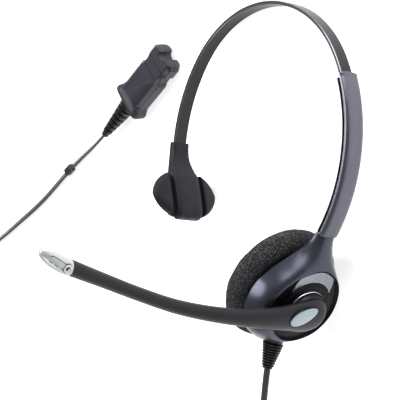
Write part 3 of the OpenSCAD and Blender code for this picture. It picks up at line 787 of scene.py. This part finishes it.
def housing_z(x, y):
    """Height of the housing's outer surface, from how near the point is to its outline and to the recess.

    Round the cup it is a rounded shoulder up to the recess. Along the neck it is an oval bar."""
    base, top = spline_at(BASE_LINE, y), spline_at(TOP_LINE, y)
    to_edge, to_eye = gap_to(outer, x, y), gap_to(inner, x, y)
    share = to_edge / (to_edge + to_eye)
    # The shoulder is full toward the boom's front and falls straight away on the far side
    far = 0.5 + 0.5 * math.cos(math.atan2(y, x) - FAR_SIDE)
    power = ROUND_POWER + (STRAIGHT_POWER - ROUND_POWER) * far
    shoulder = base + (DOME_Z - base) * (1 - (1 - share) ** power) ** (1 / power)
    across = min(1.0, abs(x) / spline_at(HALF_WIDTH, y))
    bar = base + (top - base) * math.sqrt(1 - across ** 2)
    neck = table_value(NECK_BLEND, y)
    neck = neck * neck * (3 - 2 * neck)
    return shoulder + (bar - shoulder) * neck


eye_curve = [p for p in smooth_list(EYE + EYE[:1], 8)][:-1]
outer = outline_points()
inner = [radial(eye_curve, math.atan2(y, x)) for x, y in outer]
# How far in from the outline to the recess the surface's rings lie
SHARES = [0, 0.004, 0.014, 0.03, 0.06, 0.1, 0.15, 0.22, 0.3, 0.39, 0.49, 0.6, 0.71, 0.81, 0.9, 0.96, 0.99]


def between(a, b, f):
    return (a[0] + (b[0] - a[0]) * f, a[1] + (b[1] - a[1]) * f)


CAVITY_SHARE = 0.94        # how far out toward the outline the ear side's hollow may come
SHAFT_R = 3.2              # hole for the boom's pivot
ROOF_Z = 15.8
RIM_R = 24.6
CAVITY_STEPS = ((SHAFT_R, ROOF_Z), (20.4, ROOF_Z), (20.5, 12), (24.2, 11.9), (24.3, RIM_Z + 0.3))


def housing_rings():
    """Rings of the housing's skin, from the hole's edge inside, out round the rim and back over the top."""
    rings = []
    # Inner wall, from the hollow's roof out to the rim
    for radius, z in CAVITY_STEPS:
        ring = []
        for p in outer:
            x, y = between((0, 0), p, min(radius / math.hypot(*p), CAVITY_SHARE))
            ring.append(CUP.at(x, y, z))
        rings.append(ring)
    # Rim and underside
    for share in (0.0, 0.35, 0.7, 0.93, 1.0):
        ring = []
        for p in outer:
            r = math.hypot(*p)
            start = min(RIM_R / r, CAVITY_SHARE + 0.01)
            q = between((0, 0), p, start + (1 - 0.25 / r - start) * share)
            width = spline_at(HALF_WIDTH, q[1])
            arch = math.sqrt(max(0.0, 1 - min(1.0, abs(q[0]) / width) ** 2))
            z = spline_at(BASE_LINE, q[1]) - spline_at(UNDER_DEPTH, q[1]) * arch
            ring.append(CUP.at(q[0], q[1], z))
        rings.append(ring)
    # Outer surface
    for share in SHARES:
        ring = []
        for p, q in zip(outer, inner):
            x, y = between(p, q, share)
            ring.append(CUP.at(x, y, housing_z(x, y)))
        rings.append(ring)
    # Wall and floor of the recess
    for inset, drop in ((0.0, 0.35), (EYE_WALL * 0.4, 1.0), (EYE_WALL, DOME_Z - SEAT_Z)):
        ring = []
        for q in inner:
            r = math.hypot(*q)
            x, y = between((0, 0), q, (r - inset) / r)
            ring.append(CUP.at(x, y, DOME_Z - drop))
        rings.append(ring)
    rings.append([CUP.at(*between((0, 0), q, SHAFT_R / math.hypot(*q)), SEAT_Z) for q in inner])
    return rings


housing = housing_rings()
add_piece("cup_housing", *skin(housing + [housing[0]], "open", "open"), HOUSING_PAINT,
          "headset_body", "housing_paint", ("cup_housing",), sharp=62)

# Dark floor of the recess, stepped up toward the dial. Each step is a share of the outline and a height.
RECESS_STEPS = [(1.0, 0.05), (0.975, 0.3), (0.93, 0.35), (0.92, 0.6), (0.87, 0.65), (0.86, 0.9), (0.5, 0.95)]
recess_outline = [(q[0] * 0.985, q[1] * 0.985) for q in inner]
recess = []
for scale, rise in RECESS_STEPS:
    recess.append([CUP.at(x * scale, y * scale, SEAT_Z + rise) for x, y in recess_outline])
add_piece("recess_floor", *skin(recess), DIAL_PLASTIC, "headset_body", "dial_black")

# ---- Light crescent plate above the dial ----

DIAL_R = 14.3
CRESCENT_FROM, CRESCENT_TO = 38, 146


CRESCENT_STEPS = 44


def crescent():
    """A plate from the dial's edge to the recess's, tapering to a point at both ends."""
    rows = []
    low_r = DIAL_R + 0.2
    for i in range(CRESCENT_STEPS + 1):
        share = i / CRESCENT_STEPS
        a = math.radians(CRESCENT_FROM + (CRESCENT_TO - CRESCENT_FROM) * share)
        edge_r = math.hypot(*radial(eye_curve, a)) - 0.75
        taper = min(1.0, math.sin(math.pi * share) * 1.7)
        high_r = low_r + max(0.15, (edge_r - low_r) * taper)
        profile = [(low_r, 0), (low_r, 1.0), (low_r + 0.25, 1.25), ((low_r + high_r) / 2, 1.32),
                   (high_r - 0.1, 0.95), (high_r, 0.7), (high_r, 0)]
        rows.append([CUP.at(r * math.cos(a), r * math.sin(a), SEAT_Z + 0.4 + rise) for r, rise in profile])
    return skin(rows)


add_piece("accent_crescent", *crescent(), ACCENT_PAINT, "headset_body", "accent", ("accent_crescent",))

# ---- Dial and its rings ----

dial_profile = [
    (9.75, 17.7), (14.1, 17.7), (DIAL_R, 17.9), (DIAL_R, 19.6), (14.1, 19.95), (13.5, 20.1),
    (13.35, 19.9), (13.2, 19.9), (13.05, 20.15), (11.9, 20.3), (11.75, 20.1), (11.6, 20.1),
    (11.45, 20.35), (10.8, 20.45), (9.9, 20.4), (9.75, 20.2)]
add_piece("boom_dial", *turned_skin(CUP, dial_profile, 128, closed=True), DIAL_PLASTIC, "headset_body",
          "dial_black", ("boom_dial",), sharp=30)
inner_ring = [(10.0, 20.42), (10.04, 20.66), (10.17, 20.78), (10.3, 20.66), (10.35, 20.42)]
add_piece("dial_ring", *turned_skin(CUP, inner_ring, 128, closed=True), PLATED_RING, "headset_body",
          "bright_ring", ("dial_ring",), sharp=60)

# ---- Foam ear cushion ----

CUSHION = [
    (0, -6.6), (4, -6.7), (9, -7.1), (13, -8.2), (16.5, -9.2), (20, -9.6), (23.4, -9.3), (26.4, -8.1),
    (28.7, -5.8), (29.8, -3.0), (29.8, -0.2), (28.8, 2.2), (27, 3.9), (24.8, 4.7), (22.6, 4.8),
    (21.9, 4.2), (21.9, 1.5), (21.8, -0.3), (10, -0.4), (0, -0.4)]
cushion_profile = smooth_list(CUSHION, 3)
cushion = add_piece("ear_cushion", *turned_skin(CUP, cushion_profile, 128), FOAM, "earpiece", "foam",
                    ("ear_cushion",), sharp=70)


def roughen(obj, size_mm, amount_mm):
    """Moves the surface by a fixed noise, as foam is never quite even."""
    for v in obj.data.vertices:
        v.co += v.normal * amount_mm * MM * solid_noise.noise(v.co / (size_mm * MM))


roughen(cushion, 9, 0.35)
roughen(cushion, 2.2, 0.16)

# ---- Boom: reach, height, depth along the cup's axis, half height and half depth ----

BOOM = [
    (-8.6, 0, 23.5, 1.4, 1.4), (-8.2, 0, 23.7, 3.1, 2.5), (-7.1, 0, 24.0, 5.3, 3.5),
    (-5.4, 0, 24.4, 7.2, 4.2), (-2.8, 0, 24.7, 8.5, 4.45), (0.4, -0.1, 24.9, 9.1, 4.55),
    (3.6, -0.35, 25.05, 9.0, 4.5), (7, -0.7, 25.1, 8.5, 4.4), (11, -1.2, 25.1, 7.8, 4.2),
    (16, -2.1, 25, 6.9, 4.0), (22, -3, 24.7, 6.0, 3.75), (30, -4, 24, 5.2, 3.55),
    (42, -5, 22.4, 4.35, 3.4), (58, -5.6, 19.5, 3.8, 3.3), (76, -4.9, 16, 3.45, 3.2),
    (96, -1.9, 12.2, 3.35, 3.15), (116, 2.1, 8.9, 3.5, 3.2), (134, 5.8, 6.2, 3.9, 3.4)]
BOOM_RING = 40
HUB_REACH, HUB_BASE = 22, 21.3      # the boom is flat underneath up to this reach, at this depth


def boom_ring(reach, height, depth, half_h, half_d):
    ring = []
    for a in full_turn(BOOM_RING):
        z = depth + half_d * math.sin(a)
        if reach < HUB_REACH:
            z = max(z, HUB_BASE)
        ring.append(CUP.at(-reach, height + half_h * math.cos(a), z))
    return ring


boom_rings = [boom_ring(*s) for s in smooth_list(BOOM, 4)]
add_piece("boom_tube", *skin(boom_rings), BOOM_PLASTIC, "boom", "boom_black", ("boom_tube",), sharp=45)
base_profile = [
    (3, 18.1), (9.0, 18.1), (9.2, 18.3), (9.2, 20.9), (9.0, 21.4), (8.8, 22.2), (8.4, 23), (0, 23)]
add_piece("boom_hub_base", *turned_skin(CUP, base_profile), BOOM_PLASTIC, "boom", "boom_black")

LINE_PROUD = 0.02


def boom_line():
    """A light parting bead along the boom's lower edge, round under the hub."""
    pts = []
    for reach, height, depth, half_h, half_d in smooth_list([b for b in BOOM if -7 < b[0] < 40], 5):
        a = math.radians(200 if reach > 20 else 215)
        y = height + (half_h + LINE_PROUD) * math.cos(a)
        pts.append(CUP.at(-reach, y, depth + (half_d + LINE_PROUD) * math.sin(a)))
    return pts


def wire(points, radii):
    """A round wire through row-frame points, with a radius in millimetres at each."""
    rings = []
    for k, p in enumerate(points):
        ahead = (points[min(k + 1, len(points) - 1)] - points[max(k - 1, 0)]).normalized()
        side = ahead.cross(CUP.z).normalized()
        up = side.cross(ahead)
        rings.append([p + (side * math.cos(a) + up * math.sin(a)) * radii[k] * MM for a in full_turn(8)])
    return skin(rings)


line_points = boom_line()
line_count = len(line_points)
line_radii = [0.05 + 0.3 * math.sin(math.pi * (k + 1) / line_count) for k in range(line_count)]
add_piece("boom_edge_line", *wire(line_points, line_radii), ACCENT_PAINT, "boom", "accent", sharp=60)

# Badge: a blank domed oval let into the hub
BADGE_TURN = 35
BADGE = CUP.moved(-8.3, 1.7, 29.2).turned(BADGE_TURN)
BADGE_RISE = 0.045          # slope along the badge, to follow the hub
BADGE_L, BADGE_H = 7.6, 4.3
BADGE_TAPER = 0.5


def badge_ring(scale, z):
    """The badge's outline at a scale, an oval that narrows to one end."""
    ring = []
    for a in full_turn(48):
        c, s = math.cos(a), math.sin(a)
        x = BADGE_L * scale * c
        rise = BADGE_RISE * x * math.cos(math.radians(BADGE_TURN))
        ring.append(BADGE.at(x, (BADGE_H - BADGE_TAPER * c) * scale * s, z + rise))
    return ring


badge_rings = [badge_ring(1, -0.8), badge_ring(1, 0.35), badge_ring(0.975, 0.55), badge_ring(0.9, 0.68),
               badge_ring(0.7, 0.82), badge_ring(0.4, 0.92), badge_ring(0.12, 0.95)]
add_piece("hub_badge", *skin(badge_rings), BADGE_PLASTIC, "boom", "badge", ("hub_badge",))
rim_rings = [badge_ring(1.015, 0.0), badge_ring(1.015, 0.42), badge_ring(1.05, 0.5), badge_ring(1.085, 0.36),
             badge_ring(1.09, -0.5), badge_ring(1.015, -0.5)]
add_piece("badge_rim", *skin(rim_rings, "open", "open"), DIAL_PLASTIC, "boom", "boom_black", sharp=60)

# ---- Microphone tip, with the line round its slot and its port ----

TIP = CUP.moved(-BOOM[-1][0], BOOM[-1][1], BOOM[-1][2])
# Each station: reach, middle's y and z, half width, half height
TIP_STATIONS = [
    (0.25, 0, 0, 3.6, 3.1), (0.35, 0, 0, 3.95, 3.45), (4, 0.9, -0.6, 4.1, 3.6), (8, 2.1, -1.4, 4.0, 3.6),
    (11, 3.1, -2.0, 3.6, 3.3), (13.4, 3.9, -2.5, 3.0, 2.8), (15.0, 4.4, -2.85, 2.2, 2.1),
    (15.9, 4.6, -3.0, 1.35, 1.3), (16.1, 4.65, -3.05, 0.8, 0.75)]
tip_rings = []
for reach, mid_y, mid_z, half_y, half_z in smooth_list(TIP_STATIONS, 4):
    tip_rings.append([TIP.at(-reach, mid_y + half_y * math.cos(a), mid_z + half_z * math.sin(a))
                      for a in full_turn(40)])
add_piece("mic_tip", *skin(tip_rings), TIP_PAINT, "boom", "tip_silver", ("mic_tip",))
SLOT_HALF, SLOT_ENDS = 1.5, ((-11.2, 3.9), (-3.0, 1.0))


def tip_top(x, y):
    """Height of the tip's outer surface over a point of its plan."""
    mid_y, mid_z, half_y, half_z = (table_value([(s[0], s[k]) for s in TIP_STATIONS], -x)
                                    for k in (1, 2, 3, 4))
    return mid_z + half_z * math.sqrt(max(0.0, 1 - ((y - mid_y) / half_y) ** 2))


def slot_loop(grow, rise):
    """The slot's outline, two half circles joined by straight sides, laid on the tip's surface."""
    (ax, ay), (bx, by) = SLOT_ENDS
    turn = math.atan2(by - ay, bx - ax)
    r = SLOT_HALF + grow
    plan = []
    for x0, y0, x1, y1, start in ((bx, by, ax, ay, turn - math.pi / 2), (ax, ay, bx, by, turn + math.pi / 2)):
        for i in range(16):
            a = start + math.pi * i / 15
            plan.append((x0 + r * math.cos(a), y0 + r * math.sin(a)))
        x, y = plan[-1]
        plan += [(x + (x1 - x0) * i / 12, y + (y1 - y0) * i / 12) for i in range(1, 12)]
    return [TIP.at(x, y, tip_top(x, y) + rise) for x, y in plan]


LINE_HALF, LINE_TOP, LINE_FOOT = 0.12, 0.08, -0.5
line_section = [
    (-LINE_HALF, LINE_FOOT), (-LINE_HALF, LINE_TOP), (LINE_HALF, LINE_TOP), (LINE_HALF, LINE_FOOT)]
slot_line = [slot_loop(grow, rise) for grow, rise in line_section + line_section[:1]]
PORT = TIP.moved(-2.9, 1.0, 2.55)
port_floor = turned_skin(PORT, [(0, -0.9), (0, 0.62), (1.2, 0.62), (1.25, 0.3), (2.3, 0.3), (2.4, -0.9)], 36)
add_piece("mic_slot", *joined([skin(slot_line, "open", "open"), port_floor]), DIAL_PLASTIC, "boom",
          "tip_silver", ("mic_inlay",))
port_profile = [(1.1, -0.9), (1.1, 0.7), (1.25, 0.85), (1.8, 0.8), (2.05, 0.55), (2.1, -0.9)]
add_piece("port_ring", *turned_skin(PORT, port_profile, 36, closed=True), PORT_PLASTIC, "boom",
          "port_white", ("mic_port_ring",), sharp=60)

# ---- Quick-disconnect plug: x to its contact end, z up from the table ----

PLUG_A = math.radians(38)
PLUG = Place(Vector((-111.3, 38.5, 0)) * MM, Vector((math.cos(PLUG_A), math.sin(PLUG_A), 0)),
             Vector((-math.sin(PLUG_A), math.cos(PLUG_A), 0)), Vector((0, 0, 1)))
PLUG_BASE, PLUG_H = 0.6, 9.4
PLUG_MID = PLUG_BASE + PLUG_H / 2
# One side of the body, from its cord end past the waist to the notch in its contact end
PLUG_SIDE = [
    (0, 9.5), (22, 9.5), (24, 8.3), (28, 8.3), (30, 9.5), (35.6, 9.5), (37.6, 7.8), (38, 6.6), (38, 3.2),
    (37.4, 2.6), (36.2, 2.3), (35.5, 1.6)]
PLUG_OUTLINE = [(x, -y) for x, y in PLUG_SIDE] + [(35.3, 0)] + PLUG_SIDE[::-1]
PLUG_TOP = PLUG_BASE + PLUG_H


def inset(outline, d):
    """The outline moved inward by d, corner by corner."""
    pts = []
    n = len(outline)
    for i in range(n):
        a, b, c = (Vector(outline[(i + k) % n]) for k in (-1, 0, 1))
        e, f = (b - a).normalized(), (c - b).normalized()
        ne, nf = Vector((-e.y, e.x)), Vector((-f.y, f.x))
        m = ne + nf
        pts.append(tuple(b + m * (d / max(0.5, 1 + ne.dot(nf)))))
    return pts


def slab(place, outline, levels):
    """A plate with chamfered long sides: levels are (inset all round, further lean of the sides, z)."""
    half = max(y for _, y in outline)
    rings = []
    for d, side, z in levels:
        ring = []
        for x, y in inset(outline, d):
            lean = side * max(0.0, abs(y) / half - 0.5) / 0.5
            ring.append(place.at(x, y - math.copysign(lean, y), z))
        rings.append(ring)
    return skin(rings)


plug_lower = slab(PLUG, PLUG_OUTLINE, (
    (0.5, 1.6, PLUG_BASE), (0.2, 1.3, PLUG_BASE + 0.2), (0, 0.2, PLUG_BASE + 1.5),
    (0, 0, PLUG_BASE + 1.9), (0, 0, PLUG_MID - 0.25), (0.2, 0, PLUG_MID - 0.02)))
add_piece("plug_lower", *plug_lower, PLUG_PLASTIC, "headset_body", "plug_plastic", ("plug_body",), sharp=30)
plug_upper = slab(PLUG, PLUG_OUTLINE, (
    (0.2, 0, PLUG_MID + 0.02), (0, 0, PLUG_MID + 0.25), (0, 0, PLUG_TOP - 2.5),
    (0, 0.25, PLUG_TOP - 2.1), (0.1, 2.0, PLUG_TOP - 0.25), (0.4, 2.3, PLUG_TOP)))
add_piece("plug_upper", *plug_upper, PLUG_PLASTIC, "headset_body", "plug_plastic", ("plug_cover",), sharp=30)


def flange():
    """A flared collar behind the body, rounded at its edge."""
    rings = []
    for x, half_w, half_h in ((-4.5, 10.2, 4.3), (-4.4, 10.9, 4.9), (-3.9, 11.4, 5.2), (-2.6, 11.5, 5.25),
                              (-1.2, 10.9, 5.0), (0.6, 9.9, 4.75), (2.6, 9.5, 4.66)):
        rings.append([PLUG.at(x, y, PLUG_MID + z) for y, z in super_oval(half_w, half_h, 5, 48)])
    return skin(rings)


add_piece("plug_flange", *flange(), PLUG_PLASTIC, "headset_body", "plug_plastic")

BAR_HALF = 0.35 / 2
BAR_SECTION = ((-BAR_HALF, -0.2), (BAR_HALF, -0.2), (BAR_HALF, 0.03), (0, 0.05), (-BAR_HALF, 0.03))


def groove_bar(x, half_y):
    """A thin dark parting line across the cover's top."""
    return skin([[PLUG.at(x + dx, y, PLUG_TOP + dz) for dx, dz in BAR_SECTION] for y in (-half_y, 0, half_y)])


add_piece("plug_lines", *joined([groove_bar(24.5, 6.6), groove_bar(31.2, 6.7)]), DIAL_PLASTIC,
          "headset_body", "plug_plastic", sharp=30)

RELIEF_START = -4.5
PLUG_RELIEF = Place(PLUG.at(RELIEF_START, 0, PLUG_MID), PLUG.z, -PLUG.y, -PLUG.x)
plug_ribs = ribbed(PLUG_RELIEF, ribs=7, root=4.9, tip=2.4, start_z=0.8, pitch=3.85, core_drop=1.25,
                   groove_share=0.3, tail=1.8)
plug_relief = add_piece("plug_relief_ribs", *plug_ribs, RELIEF_RUBBER, "headset_body", "cord_rubber",
                        ("plug_relief",))

# ---- Clip on the cord, and the tie round the coil ----

CLIP_A = math.radians(35)
CLIP_Z = 2.05
# Half of the clip: place along the cord, and its width and height there as shares of the full ones
CLIP_HALF = [(3.2, 0.7), (3.0, 0.95), (2.6, 1), (0.5, 1), (0.3, 0.9)]
CLIP = Place(Vector((-176, -4.6, 0)) * MM, Vector((math.cos(CLIP_A), math.sin(CLIP_A), 0)),
             Vector((-math.sin(CLIP_A), math.cos(CLIP_A), 0)), Vector((0, 0, 1)))
clip_rings = [[CLIP.at(x, y * size, CLIP_Z + z * size) for y, z in super_oval(2.3, 1.9, 3.5, 28)]
              for x, size in [(-x, size) for x, size in CLIP_HALF] + CLIP_HALF[::-1]]
clip = add_piece("cord_clip", *skin(clip_rings), INNER_PLASTIC, "headset_body", "cord_rubber", ("cord_clip",))
TIE_A = math.radians(250)
tie_out = Vector((math.cos(TIE_A), math.sin(TIE_A), 0))
TIE = Place(Vector((COIL_AT[0], COIL_AT[1], 0)) * MM + tie_out * COIL_MIDDLE * MM, tie_out, Vector((0, 0, 1)),
            tie_out.cross(Vector((0, 0, 1))))
TIE_HALF, TIE_Z = 2.0, 3.25
# The band's outer and inner outlines
tie_band = [[(half_x * x, TIE_Z + half_y * y) for x, y in super_oval(1, 1, 3.4, 32)]
            for half_x, half_y in ((3.75, 3.1), (3.3, 2.7))]
tie_rings = [[TIE.at(x, y, z) for x, y in tie_band[which]]
             for which, z in ((0, -TIE_HALF), (0, TIE_HALF), (1, TIE_HALF), (1, -TIE_HALF))]
tie = add_piece("coil_tie", *skin(tie_rings + [tie_rings[0]], "open", "open"), CORD_RUBBER, "headset_body",
                "cord_rubber", ("coil_tie",))

# ---- Materials of the CAD nodes that show as they are ----

KEPT = ((STEEL, ("stop_rivet", "pad_rivets", "detent_spring", "plate_screws", "speaker_magnet",
                 "boom_retainer")),
        (INNER_PLASTIC, ("pad_core", "cup_back_plate", "gimbal_ring", "speaker_frame", "speaker_grille",
                         "boom_pivot")),
        (BRASS, ("friction_washer", "mic_capsule", "plug_contacts")), (CONE_FILM, ("speaker_cone",)))
for material, nodes in KEPT:
    for node in nodes:
        mesh = frame["nodes"][node].data
        mesh.materials.clear()
        mesh.materials.append(material)

# ---- Floor ----

FLOOR_HALF = 3.0
FLOOR_Z = -0.0003
FLOOR_GLOW = 0.6
floor_mat, floor_tree, floor_bsdf, floor_where = nodes_of("floor")
paper = spread(floor_tree, noise(floor_tree, floor_where, 6.0, 3.0), 0, 1)
floor_colour = blended(floor_tree, paper, (0.9, 0.9, 0.9), (0.93, 0.93, 0.93))
floor_tree.links.new(floor_colour, floor_bsdf.inputs["Base Color"])
put(floor_bsdf, "Roughness", 0.9)
put(floor_bsdf, "Emission Color", (1, 1, 1, 1))
put(floor_bsdf, "Emission Strength", FLOOR_GLOW)
corners = ((-1, -1), (1, -1), (1, 1), (-1, 1))
floor_mesh = bpy.data.meshes.new("floor")
floor_mesh.from_pydata([(x * FLOOR_HALF, y * FLOOR_HALF, FLOOR_Z) for x, y in corners], [], [(0, 1, 2, 3)])
floor_mesh.materials.append(floor_mat)
floor = bpy.data.objects.new("floor", floor_mesh)
bpy.context.scene.collection.objects.link(floor)

bpy.context.view_layer.update()
